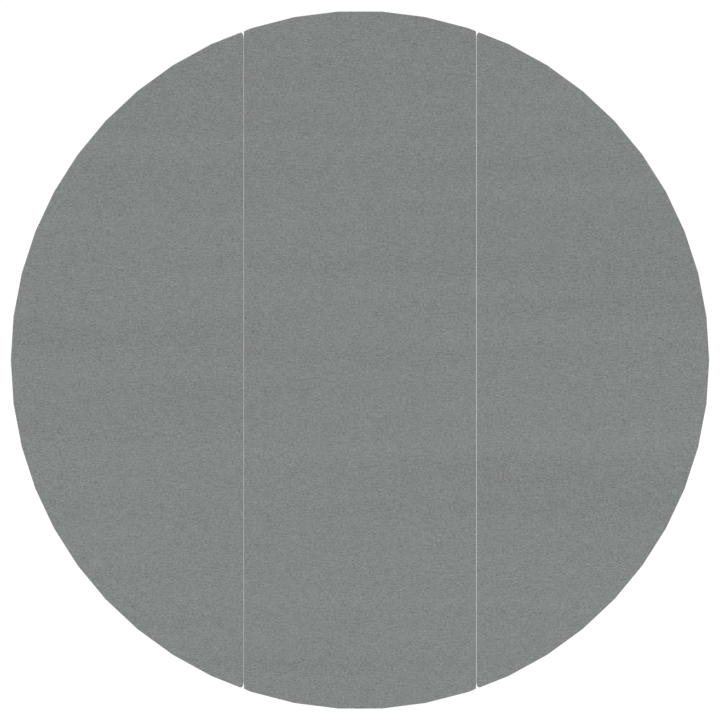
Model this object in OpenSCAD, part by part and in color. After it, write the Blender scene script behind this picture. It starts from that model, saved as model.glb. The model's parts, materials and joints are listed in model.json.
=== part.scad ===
// Round backdrop panel in three hinged thirds: cloth covers stretched over tube frames.
// +Z is up, +X is to the right and -Y is the front. The origin is the mouth of the stand socket.

/* [Disc] */
// Width of the disc across two opposite corners of its rim
disc_d = 1500; // [1250:10:1800]
// Number of straight facets around the rim, two more than a multiple of four
rim_sides = 50; // [42:4:58]
// Width of the centre panel, from seam line to seam line
centre_w = 500; // [440:10:600]
// Gap between neighbouring panels at a seam
seam_gap = 1.0; // [1:0.1:2]
// Corner radius of a wing's outline at the ends of its seam
wing_corner_r = 8; // [4:0.5:14]
// Corner radius of the centre panel's outline at the ends of its seams
centre_corner_r = 5; // [3:0.5:10]

/* [Frame] */
// Width of the rails and bows in the plane of the disc
rail_w = 25; // [22:1:32]
// Depth of the rails and bows from front to back
rail_depth = 25; // [22:1:32]
// Wall of the rails, bows and cross bars
rail_wall = 1.5; // [1.2:0.1:2]
// Clearance of a spigot or plug in its tube, on each side
spigot_gap = 0.1; // [0.05:0.05:0.3]
// Length of a spigot or plug inside its tube
spigot_len = 32; // [26:1:45]
// Length of a corner joint's shoulders past the inner corner of the frame
corner_leg = 15; // [12:1:25]
// Width and depth of the cross bars
bar_w = 20; // [16:1:21]
// Facet of a bow whose middle a cross bar meets, counted up from the disc's level
bar_facet = 3; // [2:1:5]
// Thickness of the feet at the ends of the cross bars
foot_t = 3; // [2:0.5:5]
// Length of a foot past its bar, above and below
foot_wing = 14; // [12:1:20]

/* [Cloth] */
// Thickness of the cloth
cloth_t = 1.0; // [0.4:0.1:1.5]
// Air between the cloth and the frame
cloth_gap = 0.2; // [0.1:0.05:0.5]
// Width of the hem on the back of the frame
hem_w = 24; // [20:1:26]
// Thickness of the pale bead in a seam
bead_t = 0.7; // [0.3:0.1:0.8]
// Depth of the bead from front to back
bead_depth = 12; // [6:1:20]
// How far the bead's front lies behind the front of the cloth
bead_recess = 0.5; // [0:0.1:2]

/* [Fasteners] */
// Radius of the screws' shanks
screw_r = 2; // [1.5:0.1:2.4]
// Radius of the screws' countersunk heads
screw_head_r = 3.7; // [3:0.1:4]
// Depth of the screws' heads
screw_head_h = 1.8; // [1.4:0.1:2.2]
// Clearance around a screw, rivet or magnet in its hole
hole_gap = 0.1; // [0.05:0.01:0.2]
// How far a screw or rivet reaches past the last wall that it goes through
bite = 6; // [4:0.5:9]
// Radius of the hem rivets' heads
rivet_head_r = 7; // [5:0.5:8]
// Thickness of the hem rivets' heads
rivet_head_t = 1.8; // [1:0.1:2.5]
// Radius of the hem rivets' shanks
rivet_r = 2.5; // [2:0.1:3.5]
// Radius of the closing magnets
magnet_r = 6; // [4:0.5:8]
// Length of the closing magnets
magnet_len = 6; // [4:0.5:8]

/* [Hinges] */
// Distance between neighbouring hinges, and from the middle of the seam to the nearest
hinge_pitch = 280; // [250:10:295]
// Length of a hinge
hinge_len = 60; // [45:1:70]
// Width of a leaf from the seam line
leaf_w = 21; // [18:1:25]
// Thickness of a leaf
leaf_t = 2.5; // [2:0.1:2.8]
// Outer radius of the knuckles
barrel_r = 4; // [3.6:0.1:5]
// Radius of the hinge pins
pin_r = 2; // [1.6:0.1:2.2]
// Running clearance of a pin in its knuckles
pin_gap = 0.05; // [0.02:0.01:0.09]
// Number of knuckles on a hinge, an odd number
knuckles = 5; // [3:2:9]
// Gap between neighbouring knuckles
knuckle_gap = 0.3; // [0.2:0.05:0.6]
// Gap between a leaf and the other leaf's knuckles
leaf_gap = 0.6; // [0.4:0.1:1]
// Distance between the screws of a leaf
leaf_screw_pitch = 21; // [15:1:24]
// Air between the two wings once both are folded
stack_gap = 9; // [6:0.5:14]

/* [Stand socket] */
// Bore of the socket, for a stud of 16
socket_d = 16.2; // [12.2:0.1:18.2]
// Depth of the socket
socket_depth = 60; // [50:1:80]
// Wall of the socket
socket_wall = 2; // [1.5:0.1:2.2]
// Closed end of the socket
socket_end = 3; // [2:0.5:5]
// Radius of the flange at the socket's mouth
flange_r = 13; // [12:0.5:13.5]
// Thickness of the flange
flange_t = 0.6; // [0.4:0.1:2]
// Width of the block around the socket
block_w = 36; // [32:1:40]
// How far the block reaches behind the middle of the frame
block_back = 18; // [16:1:24]
// Air between the block and the front cloth
block_clear = 0.7; // [0.4:0.1:1.5]
// Width of the block's base across the bow
base_w = 78; // [70:1:84]
// Thickness of the block's base
base_t = 5; // [4:0.5:8]
// Height of the clamp screw above the socket's mouth
clamp_z = 46; // [44:1:50]
// Radius of the clamp screw
clamp_r = 4; // [3:0.5:5]
// Radius of the clamp knob
knob_r = 16; // [13:0.5:18]
// Thickness of the clamp knob
knob_t = 14; // [10:1:20]
// Radius of the knob's neck
neck_r = 8; // [7:0.5:10]
// Length of the knob's neck
neck_t = 4; // [3:0.5:8]
// Number of lobes on the clamp knob
knob_lobes = 6; // [4:1:8]
// Air between the block and the clamp knob
knob_gap = 1.5; // [0.5:0.1:3]

/* [Hanging ring] */
// Radius of the ring's wire
wire_r = 2; // [1.5:0.1:2.5]
// Distance from the ring's middle to the middle of either leg
ring_r = 16; // [14:0.5:22]
// Length of the ring's straight legs
ring_leg = 16; // [12:1:24]
// Radial wall of the ring tab's barrel
tab_wall = 1.5; // [1.2:0.1:1.8]
// Thickness of the ring tab's plate
tab_t = 1.2; // [1:0.1:1.3]
// Half the width of the ring tab's plate
tab_half_w = 13; // [11:0.5:13.5]
// Height of the ring tab's plate above the ring's pivot
tab_h = 15; // [13:0.5:17]
// Distance from the middle of the bow down to the ring's pivot
tab_drop = 5; // [3:0.5:6]

/* [Hidden] */
$fn = 48;

// Directions on the rim, and the disc's middle
facet_turn = 360 / rim_sides;
apothem = disc_d / 2 * cos(facet_turn / 2);
centre_z = flange_t + apothem;
far = 2 * disc_d;
arc_steps = 8;
// Half the thickness of a covered panel
half_t = rail_depth / 2 + cloth_gap + cloth_t;
frame_inset = cloth_t + cloth_gap;
inner_inset = frame_inset + rail_w;
// Places across the disc, from its middle
seam_x = centre_w / 2;
rail_near_x = seam_gap / 2 + frame_inset;
rail_mid_x = rail_near_x + rail_w / 2;
hem_mid_x = seam_gap / 2 + hem_w / 2;
wing_inner_x = seam_x + seam_gap / 2 + inner_inset;
centre_inner_x = seam_x - seam_gap / 2 - inner_inset;

// Height of the rim above the disc's middle at a place across it, for the outline drawn in by inset
function facet_dir(k) = facet_turn * (k + 0.5);
function facet_height(x, inset, k) = (apothem - inset - x * cos(facet_dir(k))) / sin(facet_dir(k));
function facet_heights(x, inset) = [for (k = [0 : rim_sides / 2 - 1]) facet_height(x, inset, k)];
function rim_height(x, inset) = min(facet_heights(x, inset));
// Direction of the facet that the rim has there
function rim_dir(x, inset) = facet_dir(search(rim_height(x, inset), facet_heights(x, inset))[0]);
// Corner k of the rim, counted from the disc's right-hand end
function rim_corner(k, inset) =
    (apothem - inset) / cos(facet_turn / 2) * [cos(facet_turn * k), sin(facet_turn * k)];
// A round corner as points from one direction to another, or its middle if it has no radius
function arc(middle, r, from, to) = r <= 0 ? [middle] : [
    for (s = [0 : arc_steps])
        let (a = from + (to - from) * s / arc_steps)
            middle + r * [cos(a), sin(a)]
];
function mirrored(points, x, y) = [for (p = points) [p.x * x, p.y * y]];
function backwards(points) = [for (i = [len(points) - 1 : -1 : 0]) points[i]];

// Upper half of the right wing's outline, from the rim to its seam
function wing_half(inset) = let (
    r = max(wing_corner_r - inset, 0),
    x = seam_x + seam_gap / 2 + inset + r,
    corner = arc([x, rim_height(x, inset + r)], r, rim_dir(x, inset + r), 180)
) concat([
    for (k = [1 : rim_sides / 4])
        if (rim_corner(k, inset).x > corner[0].x)
            rim_corner(k, inset)
], corner);
// Upper right quarter of the centre panel's outline, from its seam to the top
function centre_quarter(inset) = let (
    r = max(centre_corner_r - inset, 0),
    x = seam_x - seam_gap / 2 - inset - r,
    corner = arc([x, rim_height(x, inset + r)], r, 0, rim_dir(x, inset + r))
) concat(corner, [
    for (k = [1 : rim_sides / 4])
        if (rim_corner(k, inset).x < corner[len(corner) - 1].x)
            rim_corner(k, inset)
]);

module wing_outline(inset) {
    upper = wing_half(inset);
    polygon(concat([rim_corner(0, inset)], upper, backwards(mirrored(upper, 1, -1))));
}
module centre_outline(inset) {
    q = centre_quarter(inset);
    left = mirrored(q, -1, 1);
    polygon(concat(q, backwards(left), mirrored(left, 1, -1), backwards(mirrored(q, 1, -1))));
}
module outline(wing, inset) {
    if (wing) wing_outline(inset);
    else centre_outline(inset);
}
// Band between two insets of a panel's outline
module band(wing, outer, inner) {
    difference() {
        outline(wing, outer);
        outline(wing, inner);
    }
}
// Everything within an angle of a panel's bows, seen from the disc's middle
module fan(half_angle) {
    polygon([[0, 0], far * [cos(half_angle), -sin(half_angle)], far * [1, -sin(half_angle)],
        far * [1, sin(half_angle)], far * [cos(half_angle), sin(half_angle)]]);
}
module bow_fans(wing, half_angle) {
    if (wing) intersection() {
        fan(half_angle);
        translate([wing_inner_x, -far / 2]) square(far);
    }
    else for (turn = [90, -90]) rotate(turn) fan(half_angle);
}
// A level strip across a panel
module strip(height) {
    square([far, height], center = true);
}
// Puts a drawing in the plane of the disc, with a depth about a middle plane
module plate(depth, y = 0) {
    translate([0, y, centre_z]) rotate([90, 0, 0]) linear_extrude(depth, center = true) children();
}
module on_left() {
    mirror([1, 0, 0]) children();
}

// Where the rails and bows meet the corner joints
wing_inner_h = rim_height(wing_inner_x, inner_inset);
centre_inner_h = rim_height(centre_inner_x, inner_inset);
wing_rail_h = wing_inner_h - corner_leg;
centre_rail_h = centre_inner_h - corner_leg;
leg_angle = asin(corner_leg / apothem);
plug_angle = asin(spigot_len / apothem);
wing_bow_angle = atan2(wing_inner_h, wing_inner_x) - leg_angle;
centre_bow_angle = 90 - atan2(centre_inner_h, centre_inner_x) - leg_angle;
function rail_h(wing) = wing ? wing_rail_h : centre_rail_h;
function bow_angle(wing) = wing ? wing_bow_angle : centre_bow_angle;
// Heights of the cross bars above the disc's middle
bar_h = (apothem - inner_inset) * sin(facet_dir(bar_facet));
bar_heights = [-bar_h, bar_h];

// Fasteners. Each points along -Z with its outer end at the origin, and gap widens it into its hole.
// A hole stays open above the fastener's head by head_room.
head_room = 3;
module screw(length, gap = 0) {
    difference() {
        union() {
            translate([0, 0, -length]) cylinder(h = length, r = screw_r + gap);
            translate([0, 0, -screw_head_h])
                cylinder(h = screw_head_h, r1 = screw_r + gap, r2 = screw_head_r + gap);
            if (gap > 0) cylinder(h = head_room, r = screw_head_r + gap);
        }
        if (gap == 0) for (turn = [0, 90])
            rotate(turn) cube([screw_head_r, screw_r / 2, screw_head_h], center = true);
    }
}
rivet_len = frame_inset + rail_wall + bite;
module rivet() {
    translate([0, 0, -rivet_len]) cylinder(h = rivet_len, r = rivet_r);
    cylinder(h = rivet_head_t / 2, r = rivet_head_r);
    translate([0, 0, rivet_head_t / 2])
        cylinder(h = rivet_head_t / 2, r1 = rivet_head_r, r2 = rivet_head_r - rivet_head_t);
}
// Puts a fastener on the back of the panels, y behind the middle plane
module on_back(x, h, y) {
    translate([x, y, centre_z + h]) rotate([-90, 0, 0]) children();
}
// Puts a piece on the rim's facet k, drawn in by inset and along the facet by t
module on_facet(k, inset, t) {
    translate([0, 0, centre_z]) rotate([0, -facet_dir(k), 0])
        translate([apothem - inset, 0, t]) children();
}

// Covers
module face_cloth(wing) {
    plate(cloth_t, -half_t + cloth_t / 2) outline(wing, 0);
}
module edge_wrap(wing) {
    difference() {
        union() {
            plate(2 * half_t - cloth_t, cloth_t / 2) band(wing, 0, cloth_t);
            plate(cloth_t, half_t - cloth_t / 2) band(wing, 0, hem_w);
        }
        rivet_holes(wing);
    }
}

// Hem rivets: between the hinges down each rail, and around each bow
rivet_pitch = hinge_pitch / 3;
rail_rivets = floor(wing_rail_h / rivet_pitch);
module hem_places(wing) {
    side = wing ? 1 : -1;
    for (k = [0 : rail_rivets - 1], end = [-1, 1], hand = wing ? [1] : [-1, 1]) {
        h = end * (k + 0.5) * rivet_pitch;
        if (abs(h) + rivet_head_r < rail_h(wing) - spigot_len)
            on_back(hand * (seam_x + side * hem_mid_x), h, half_t) children();
    }
    bow_r = apothem - hem_w / 2;
    last = bow_angle(wing) - plug_angle - asin(rivet_head_r / apothem);
    for (k = [0 : rim_sides / 4], end = [-1, 1], hand = wing ? [1] : [-1, 1]) {
        a = facet_dir(k);
        along = bow_r * (wing ? [cos(a), sin(a)] : [sin(a), cos(a)]);
        if (a < last)
            on_back(hand * along.x, end * along.y, half_t) children();
    }
}
module hem_rivets(wing) {
    hem_places(wing) rivet();
}
module rivet_holes(wing) {
    hem_places(wing)
        translate([0, 0, -rivet_len]) cylinder(h = rivet_len + head_room, r = rivet_r + hole_gap);
}

// Frame. A seam rail is drawn for the right side of its panel and its seam lies at seam_x.
module seam_rail(wing) {
    side = wing ? 1 : -1;
    difference() {
        translate([seam_x + side * rail_mid_x, 0, centre_z])
            cube([rail_w, rail_depth, 2 * rail_h(wing)], center = true);
        translate([seam_x + side * rail_mid_x, 0, centre_z])
            cube([rail_w - 2 * rail_wall, rail_depth - 2 * rail_wall, far], center = true);
        rivet_holes(wing);
        magnets(side, hole_gap);
        corner_screws(wing, hole_gap);
        foot_screws(wing, hole_gap);
        for (riser = [0, 1]) hinge_screws(riser, side, hole_gap);
    }
}
module bow(wing) {
    difference() {
        plate(rail_depth) intersection() {
            band(wing, frame_inset, inner_inset);
            bow_fans(wing, bow_angle(wing));
        }
        plate(rail_depth - 2 * rail_wall) band(wing, frame_inset + rail_wall, inner_inset - rail_wall);
        rivet_holes(wing);
        corner_screws(wing, hole_gap);
        foot_screws(wing, hole_gap);
    }
}
module corner_joints(wing) {
    play = rail_wall + spigot_gap;
    difference() {
        union() {
            plate(rail_depth) difference() {
                band(wing, frame_inset, inner_inset);
                bow_fans(wing, bow_angle(wing));
                strip(2 * rail_h(wing));
            }
            plate(rail_depth - 2 * play) difference() {
                band(wing, frame_inset + play, inner_inset - play);
                bow_fans(wing, bow_angle(wing) - plug_angle);
                strip(2 * (rail_h(wing) - spigot_len));
            }
        }
        corner_screws(wing, hole_gap);
    }
}
module corner_screws(wing, gap = 0) {
    side = wing ? 1 : -1;
    length = rail_depth / 2 + bite;
    bow_r = apothem - frame_inset - rail_w / 2;
    a = bow_angle(wing) - plug_angle / 2;
    along = wing ? [cos(a), sin(a)] : [sin(a), cos(a)];
    for (end = [-1, 1], hand = wing ? [1] : [-1, 1]) {
        on_back(hand * (seam_x + side * rail_mid_x), end * (rail_h(wing) - spigot_len / 2), rail_depth / 2)
            screw(length, gap);
        on_back(hand * bow_r * along.x, end * bow_r * along.y, rail_depth / 2) screw(length, gap);
    }
}

// Cross bars between the rails and bows, and the feet that hold their ends
module bar_strips(height) {
    for (h = bar_heights) translate([0, h]) strip(height);
}
module cross_bars(wing) {
    difference() {
        plate(bar_w) intersection() {
            outline(wing, inner_inset + foot_t);
            bar_strips(bar_w);
        }
        plate(bar_w - 2 * rail_wall) bar_strips(bar_w - 2 * rail_wall);
    }
}
module bar_feet(wing) {
    play = rail_wall + spigot_gap;
    difference() {
        union() {
            plate(bar_w) intersection() {
                band(wing, inner_inset, inner_inset + foot_t);
                bar_strips(bar_w + 2 * foot_wing);
            }
            plate(bar_w - 2 * play) intersection() {
                band(wing, inner_inset + foot_t / 2, inner_inset + foot_t + spigot_len);
                bar_strips(bar_w - 2 * play);
            }
        }
        foot_screws(wing, hole_gap);
    }
}
module foot_screws(wing, gap = 0) {
    length = foot_t + rail_wall + bite;
    across = (bar_w + foot_wing) / 2;
    side = wing ? 1 : -1;
    for (h = bar_heights, off = [-across, across], hand = wing ? [1] : [-1, 1])
        translate([hand * (seam_x + side * (rail_near_x + rail_w + foot_t)), 0, centre_z + h + off])
            rotate([0, 90 * side * hand, 0]) screw(length, gap);
    slope = across / cos(facet_dir(bar_facet));
    if (wing) for (off = [-slope, slope], k = [bar_facet, -1 - bar_facet])
        on_facet(k, inner_inset + foot_t, off) rotate([0, -90, 0]) screw(length, gap);
}

// Closing magnets in the outer walls of the seam rails, clear of the rivets and hinges
module magnets(side, gap = 0) {
    for (h = rivet_pitch * [-5, -2, 2, 5])
        translate([seam_x + side * rail_near_x, 0, centre_z + h]) rotate([0, 90 * side, 0])
            cylinder(h = magnet_len, r = magnet_r + gap);
}

// Pale bead on the centre panel's side of a seam, between the rounded corners
module seam_bead() {
    wing_corner_x = seam_x + seam_gap / 2 + wing_corner_r;
    bead_h = rim_height(wing_corner_x, wing_corner_r);
    translate([seam_x - seam_gap / 2, -half_t + bead_recess, centre_z - bead_h])
        cube([bead_t, bead_depth, 2 * bead_h]);
}

// Hinges. The right hinges stand on risers, so that the right wing folds over the left one.
pin_low = half_t + pin_gap + barrel_r;
pin_high = pin_low + half_t + stack_gap / 2;
leaf_clear = barrel_r + leaf_gap;
leaf_screw_x = (leaf_clear + leaf_w) / 2;
function pin_y(riser) = riser == 1 ? pin_high : pin_low;
function leaf_base(riser) = pin_y(riser) - barrel_r - pin_gap;
hinge_heights = hinge_pitch * [-2, -1, 1, 2];
leaf_screws = leaf_screw_pitch * [-1, 0, 1];
knuckle_len = hinge_len / knuckles;
module at_hinges() {
    for (h = hinge_heights) translate([seam_x, 0, centre_z + h]) children();
}
module leaves(riser, side) {
    first = side > 0 ? 1 : 0;
    base = leaf_base(riser);
    difference() {
        at_hinges() {
            translate([side > 0 ? leaf_clear : -leaf_w, base, -hinge_len / 2])
                cube([leaf_w - leaf_clear, leaf_t, hinge_len]);
            for (k = [first : 2 : knuckles - 1]) translate([0, 0, k * knuckle_len - hinge_len / 2]) {
                low = k == 0 ? 0 : knuckle_gap / 2;
                high = k == knuckles - 1 ? knuckle_len : knuckle_len - knuckle_gap / 2;
                translate([0, pin_y(riser), low]) cylinder(h = high - low, r = barrel_r);
                translate([side > 0 ? 0 : -leaf_clear - leaf_gap, base, low])
                    cube([leaf_clear + leaf_gap, leaf_t, high - low]);
            }
        }
        at_hinges() translate([0, pin_y(riser), -hinge_len])
            cylinder(h = 2 * hinge_len, r = pin_r + pin_gap);
        hinge_screws(riser, side, hole_gap);
    }
}
module hinge_pins(riser) {
    head_r = (pin_r + barrel_r) / 2;
    at_hinges() translate([0, pin_y(riser), -hinge_len / 2]) {
        cylinder(h = hinge_len, r = pin_r);
        translate([0, 0, -leaf_gap]) cylinder(h = leaf_gap, r = head_r);
        translate([0, 0, hinge_len]) cylinder(h = leaf_gap, r = head_r);
    }
}
module hinge_screws(riser, side, gap = 0) {
    head_y = leaf_base(riser) + leaf_t;
    length = head_y - rail_depth / 2 + rail_wall + bite;
    for (h = hinge_heights, off = leaf_screws)
        on_back(seam_x + side * leaf_screw_x, h + off, head_y) screw(length, gap);
}
module riser_blocks(side) {
    low = seam_gap / 2;
    difference() {
        at_hinges() translate([side > 0 ? low : -leaf_w, half_t, -hinge_len / 2])
            cube([leaf_w - low, leaf_base(1) - half_t, hinge_len]);
        hinge_screws(1, side, hole_gap);
    }
}

// Stand socket in the bottom bow, with its block and clamp screw
socket_r = socket_d / 2 + socket_wall;
bow_top_z = flange_t + inner_inset;
block_top_z = socket_depth + socket_end - base_t;
module at_clamp(y) {
    translate([0, y, clamp_z]) rotate([-90, 0, 0]) children();
}
module stand_socket() {
    color("silver") difference() {
        union() {
            cylinder(h = flange_t, r = flange_r);
            cylinder(h = socket_depth + socket_end, r = socket_r);
        }
        translate([0, 0, -flange_t]) cylinder(h = socket_depth + flange_t, r = socket_d / 2);
        at_clamp(0) cylinder(h = far, r = clamp_r + hole_gap);
    }
}
module socket_block() {
    front = -half_t + cloth_t + block_clear;
    color("dimgray") difference() {
        union() {
            translate([-block_w / 2, front, bow_top_z])
                cube([block_w, block_back - front, block_top_z - bow_top_z]);
            translate([-base_w / 2, -bar_w / 2, bow_top_z]) cube([base_w, bar_w, base_t]);
        }
        cylinder(h = far, r = socket_r + hole_gap);
        at_clamp(0) cylinder(h = far, r = clamp_r + hole_gap);
        socket_screw_set(hole_gap);
    }
}
module socket_screw_set(gap = 0) {
    for (hand = [-1, 1])
        translate([hand * (base_w + block_w) / 4, 0, bow_top_z + base_t])
            screw(base_t + rail_wall + bite, gap);
}
module socket_block_screws() {
    color("dimgray") socket_screw_set();
}
module clamp_screw() {
    start = socket_d / 2 + hole_gap;
    color("silver") at_clamp(start)
        cylinder(h = block_back + knob_gap + neck_t + knob_t / 2 - start, r = clamp_r);
}
module clamp_knob() {
    lobe_r = knob_r * PI / knob_lobes / 2;
    color("black") at_clamp(block_back + knob_gap) difference() {
        union() {
            cylinder(h = neck_t, r = neck_r);
            translate([0, 0, neck_t]) cylinder(h = knob_t, r = knob_r);
        }
        for (k = [0 : knob_lobes - 1]) rotate((k + 0.5) * 360 / knob_lobes)
            translate([knob_r + lobe_r / 2, 0, neck_t / 2]) cylinder(h = far, r = lobe_r);
        translate([0, 0, -neck_t]) cylinder(h = 2 * neck_t + knob_t / 2, r = clamp_r + pin_gap);
    }
}

// Hanging ring on the back of the top bow
tab_barrel_r = wire_r + pin_gap + tab_wall;
ring_h = apothem - frame_inset - rail_w / 2 - tab_drop;
ring_y = half_t + tab_barrel_r;
module at_ring() {
    translate([0, ring_y, centre_z + ring_h]) children();
}
module tab_screw_set(gap = 0) {
    for (hand = [-1, 1])
        on_back(hand * tab_half_w / 2, ring_h + (tab_h + tab_barrel_r) / 2, half_t + tab_t)
            screw(tab_t + frame_inset + rail_wall + bite, gap);
}
module ring_tab() {
    barrel_len = ring_r - wire_r;
    color("silver") difference() {
        at_ring() {
            translate([-tab_half_w, -tab_barrel_r, 0]) cube([2 * tab_half_w, tab_t, tab_h]);
            rotate([0, 90, 0]) cylinder(h = barrel_len, r = tab_barrel_r, center = true);
            translate([-barrel_len / 2, -tab_barrel_r, 0])
                cube([barrel_len, tab_barrel_r, tab_barrel_r]);
        }
        at_ring() rotate([0, 90, 0]) cylinder(h = 2 * ring_r, r = wire_r + pin_gap, center = true);
        tab_screw_set(hole_gap);
    }
}
module ring_tab_screws() {
    color("dimgray") tab_screw_set();
}
module hanging_ring() {
    color("silver") at_ring() {
        rotate([0, 90, 0]) cylinder(h = 2 * ring_r, r = wire_r, center = true);
        for (hand = [-1, 1]) {
            translate([hand * ring_r, 0, 0]) sphere(r = wire_r);
            translate([hand * ring_r, 0, -ring_leg]) cylinder(h = ring_leg, r = wire_r);
        }
        translate([0, 0, -ring_leg]) rotate([-90, 0, 0])
            rotate_extrude(angle = 180) translate([ring_r, 0]) circle(r = wire_r);
    }
}

// The nodes of each panel
module left_face_cloth() { color("gray") on_left() face_cloth(true); }
module centre_face_cloth() { color("gray") face_cloth(false); }
module right_face_cloth() { color("gray") face_cloth(true); }
module wing_wrap(riser) {
    difference() {
        edge_wrap(true);
        hinge_screws(riser, 1, hole_gap);
    }
}
module left_edge_wrap() { color("slategray") on_left() wing_wrap(0); }
module right_edge_wrap() { color("slategray") wing_wrap(1); }
module centre_edge_wrap() {
    color("slategray") difference() {
        edge_wrap(false);
        on_left() hinge_screws(0, -1, hole_gap);
        hinge_screws(1, -1, hole_gap);
        cylinder(h = bow_top_z, r = socket_r + hole_gap);
        tab_screw_set(hole_gap);
    }
}
module left_seam_bead() { color("gainsboro") on_left() seam_bead(); }
module right_seam_bead() { color("gainsboro") seam_bead(); }
module left_seam_rail() { color("silver") on_left() seam_rail(true); }
module centre_left_rail() { color("silver") on_left() seam_rail(false); }
module centre_right_rail() { color("silver") seam_rail(false); }
module right_seam_rail() { color("silver") seam_rail(true); }
module left_bow() { color("silver") on_left() bow(true); }
module right_bow() { color("silver") bow(true); }
module centre_top_bow() {
    color("silver") difference() {
        bow(false);
        translate([0, 0, centre_z - far / 2]) cube(far, center = true);
        tab_screw_set(hole_gap);
    }
}
module centre_bottom_bow() {
    color("silver") difference() {
        bow(false);
        translate([0, 0, centre_z + far / 2]) cube(far, center = true);
        cylinder(h = centre_z, r = socket_r + hole_gap);
        socket_screw_set(hole_gap);
    }
}
module left_corner_joints() { color("dimgray") on_left() corner_joints(true); }
module centre_corner_joints() { color("dimgray") corner_joints(false); }
module right_corner_joints() { color("dimgray") corner_joints(true); }
module left_corner_screws() { color("gray") on_left() corner_screws(true); }
module centre_corner_screws() { color("gray") corner_screws(false); }
module right_corner_screws() { color("gray") corner_screws(true); }
module left_cross_bars() { color("silver") on_left() cross_bars(true); }
module centre_cross_bars() { color("silver") cross_bars(false); }
module right_cross_bars() { color("silver") cross_bars(true); }
module left_bar_feet() { color("dimgray") on_left() bar_feet(true); }
module centre_bar_feet() { color("dimgray") bar_feet(false); }
module right_bar_feet() { color("dimgray") bar_feet(true); }
module left_foot_screws() { color("gray") on_left() foot_screws(true); }
module centre_foot_screws() { color("gray") foot_screws(false); }
module right_foot_screws() { color("gray") foot_screws(true); }
module left_hem_rivets() { color("black") on_left() hem_rivets(true); }
module centre_hem_rivets() { color("black") hem_rivets(false); }
module right_hem_rivets() { color("black") hem_rivets(true); }
module left_magnets() { color("lightsteelblue") on_left() magnets(1); }
module right_magnets() { color("lightsteelblue") magnets(1); }
module centre_magnets() {
    color("lightsteelblue") magnets(-1);
    color("lightsteelblue") on_left() magnets(-1);
}
module left_hinge_wing_leaves() { color("silver") on_left() leaves(0, 1); }
module left_hinge_centre_leaves() { color("silver") on_left() leaves(0, -1); }
module left_hinge_pins() { color("gray") on_left() hinge_pins(0); }
module left_hinge_wing_screws() { color("gray") on_left() hinge_screws(0, 1); }
module left_hinge_centre_screws() { color("gray") on_left() hinge_screws(0, -1); }
module right_hinge_wing_leaves() { color("silver") leaves(1, 1); }
module right_hinge_centre_leaves() { color("silver") leaves(1, -1); }
module right_hinge_pins() { color("gray") hinge_pins(1); }
module right_hinge_wing_screws() { color("gray") hinge_screws(1, 1); }
module right_hinge_centre_screws() { color("gray") hinge_screws(1, -1); }
module right_riser_wing_blocks() { color("dimgray") riser_blocks(1); }
module right_riser_centre_blocks() { color("dimgray") riser_blocks(-1); }

left_face_cloth();
centre_face_cloth();
right_face_cloth();
left_edge_wrap();
centre_edge_wrap();
right_edge_wrap();
left_seam_bead();
right_seam_bead();
left_seam_rail();
centre_left_rail();
centre_right_rail();
right_seam_rail();
left_bow();
centre_top_bow();
centre_bottom_bow();
right_bow();
left_corner_joints();
centre_corner_joints();
right_corner_joints();
left_corner_screws();
centre_corner_screws();
right_corner_screws();
left_cross_bars();
centre_cross_bars();
right_cross_bars();
left_bar_feet();
centre_bar_feet();
right_bar_feet();
left_foot_screws();
centre_foot_screws();
right_foot_screws();
left_hem_rivets();
centre_hem_rivets();
right_hem_rivets();
left_magnets();
centre_magnets();
right_magnets();
left_hinge_wing_leaves();
left_hinge_centre_leaves();
left_hinge_pins();
left_hinge_wing_screws();
left_hinge_centre_screws();
right_hinge_wing_leaves();
right_hinge_centre_leaves();
right_hinge_pins();
right_hinge_wing_screws();
right_hinge_centre_screws();
right_riser_wing_blocks();
right_riser_centre_blocks();
stand_socket();
socket_block();
socket_block_screws();
clamp_screw();
clamp_knob();
ring_tab();
ring_tab_screws();
hanging_ring();
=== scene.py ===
import json
import math

import bpy
import numpy as np
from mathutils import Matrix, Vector


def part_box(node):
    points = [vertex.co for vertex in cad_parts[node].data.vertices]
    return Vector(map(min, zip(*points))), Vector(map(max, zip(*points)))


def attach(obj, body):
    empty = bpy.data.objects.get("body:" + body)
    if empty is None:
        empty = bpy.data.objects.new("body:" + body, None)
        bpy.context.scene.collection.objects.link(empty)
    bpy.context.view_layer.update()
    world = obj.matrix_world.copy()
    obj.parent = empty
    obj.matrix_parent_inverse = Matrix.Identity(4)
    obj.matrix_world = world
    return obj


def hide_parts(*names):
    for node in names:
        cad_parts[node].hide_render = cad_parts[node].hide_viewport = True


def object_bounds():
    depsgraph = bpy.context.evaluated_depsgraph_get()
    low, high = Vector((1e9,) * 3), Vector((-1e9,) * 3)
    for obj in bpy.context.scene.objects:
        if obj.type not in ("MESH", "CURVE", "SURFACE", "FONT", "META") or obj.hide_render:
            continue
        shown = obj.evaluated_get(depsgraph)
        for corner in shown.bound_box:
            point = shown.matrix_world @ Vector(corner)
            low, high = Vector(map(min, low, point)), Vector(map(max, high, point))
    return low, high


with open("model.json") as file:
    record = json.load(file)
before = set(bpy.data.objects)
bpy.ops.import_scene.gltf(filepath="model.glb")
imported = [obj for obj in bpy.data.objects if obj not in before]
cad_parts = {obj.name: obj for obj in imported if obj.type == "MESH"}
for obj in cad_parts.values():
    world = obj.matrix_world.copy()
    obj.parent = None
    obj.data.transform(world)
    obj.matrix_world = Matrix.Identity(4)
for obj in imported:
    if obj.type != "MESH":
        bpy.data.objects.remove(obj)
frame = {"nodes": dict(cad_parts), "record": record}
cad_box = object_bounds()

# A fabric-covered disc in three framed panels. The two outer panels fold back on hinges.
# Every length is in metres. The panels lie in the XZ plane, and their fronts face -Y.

MM = 0.001

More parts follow.
